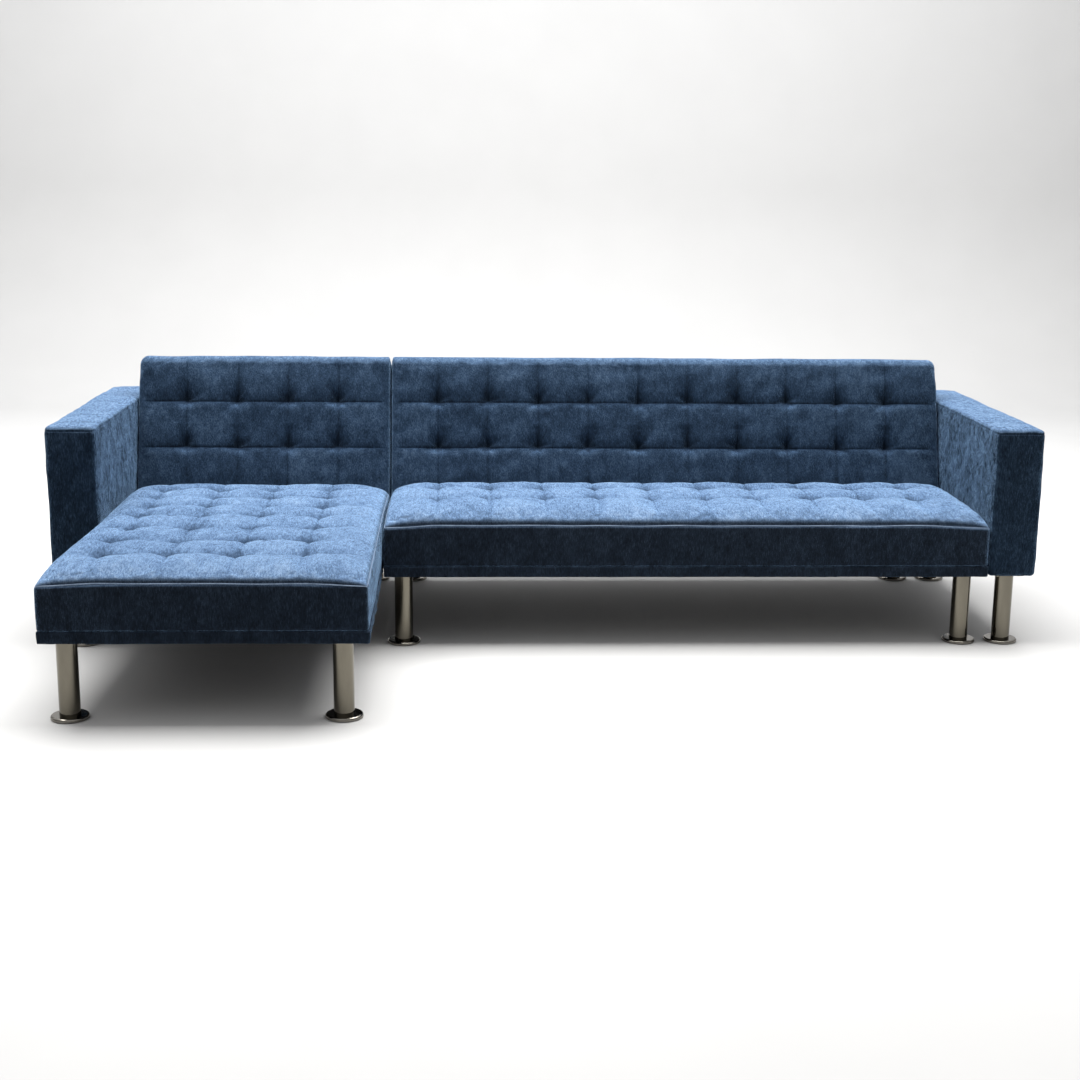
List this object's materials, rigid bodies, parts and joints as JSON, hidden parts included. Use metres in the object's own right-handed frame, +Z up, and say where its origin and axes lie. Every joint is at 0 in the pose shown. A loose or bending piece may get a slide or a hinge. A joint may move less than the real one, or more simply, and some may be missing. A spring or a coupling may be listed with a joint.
{
  "type": "futon sofa bed",
  "caption": "Upholstered futon sofa bed with a chaise end, boxy arms, two click-clack backs that recline flat and short round chrome legs.",
  "frame": {"origin": "on the floor under the middle of the overall width and depth", "axes": "+Z up, +X to the right when facing the front, front faces -Y"},
  "size_m": [2.69, 1.502, 0.731],
  "materials": {
    "leg_tube_chrome": "mirror chrome plate",
    "foot_chrome": "mirror chrome plate",
    "plate_steel": "black powder coat",
    "hinge_steel": "zinc-plated pressed steel",
    "screw_steel": "yellow zinc",
    "spring_steel": "oiled spring wire",
    "glide_plastic": "moulded nylon",
    "dust_cloth": "black spunbond cloth",
    "seat_fabric": "blue velvet chenille, tufted",
    "back_fabric": "blue velvet chenille, tufted",
    "base_fabric": "blue velvet chenille",
    "arm_fabric": "blue velvet chenille",
    "foam": "open-cell upholstery foam",
    "frame_timber": "sawn pine and plywood"
  },
  "bodies": {
    "root": {"chaise_base_cover": "base_fabric", "chaise_base_frame": "frame_timber", "chaise_front_left_foot": "foot_chrome", "chaise_front_left_leg": "leg_tube_chrome", "chaise_front_right_foot": "foot_chrome", "chaise_front_right_leg": "leg_tube_chrome", "chaise_rear_left_foot": "foot_chrome", "chaise_rear_left_leg": "leg_tube_chrome", "chaise_rear_right_foot": "foot_chrome", "chaise_rear_right_leg": "leg_tube_chrome", "chaise_seat_cover": "seat_fabric", "chaise_seat_foam": "foam", "chaise_seat_frame": "frame_timber", "chaise_seat_springs": "spring_steel", "dust_covers": "dust_cloth", "hinge_base_plates": "hinge_steel", "hinge_pins": "screw_steel", "joining_plates": "plate_steel", "left_arm_cover": "arm_fabric", "left_arm_foam": "foam", "left_arm_frame": "frame_timber", "left_arm_front_foot": "foot_chrome", "left_arm_front_leg": "leg_tube_chrome", "left_arm_rear_foot": "foot_chrome", "left_arm_rear_leg": "leg_tube_chrome", "leg_glides": "glide_plastic", "leg_mount_plates": "plate_steel", "right_arm_cover": "arm_fabric", "right_arm_foam": "foam", "right_arm_frame": "frame_timber", "right_arm_front_foot": "foot_chrome", "right_arm_front_leg": "leg_tube_chrome", "right_arm_rear_foot": "foot_chrome", "right_arm_rear_leg": "leg_tube_chrome", "sofa_base_cover": "base_fabric", "sofa_base_frame": "frame_timber", "sofa_front_left_foot": "foot_chrome", "sofa_front_left_leg": "leg_tube_chrome", "sofa_front_right_foot": "foot_chrome", "sofa_front_right_leg": "leg_tube_chrome", "sofa_rear_left_foot": "foot_chrome", "sofa_rear_left_leg": "leg_tube_chrome", "sofa_rear_right_foot": "foot_chrome", "sofa_rear_right_leg": "leg_tube_chrome", "sofa_seat_cover": "seat_fabric", "sofa_seat_foam": "foam", "sofa_seat_frame": "frame_timber", "sofa_seat_springs": "spring_steel", "wood_screws": "screw_steel"},
    "chaise_back": {"chaise_back_cover": "back_fabric", "chaise_back_foam": "foam", "chaise_back_frame": "frame_timber", "chaise_hinge_arms": "hinge_steel", "chaise_hinge_arm_screws": "screw_steel"},
    "sofa_back": {"sofa_back_cover": "back_fabric", "sofa_back_foam": "foam", "sofa_back_frame": "frame_timber", "sofa_hinge_arms": "hinge_steel", "sofa_hinge_arm_screws": "screw_steel"}
  },
  "joints": [
    {"name": "chaise_recline", "type": "hinge", "parent": "root", "child": "chaise_back", "pos_m": [-0.831, 0.4, 0.33], "axis": [-1, 0, 0], "range_deg": [-14, 73]},
    {"name": "sofa_recline", "type": "hinge", "parent": "root", "child": "sofa_back", "pos_m": [0.3745, 0.4, 0.33], "axis": [-1, 0, 0], "range_deg": [-14, 73]}
  ]
}
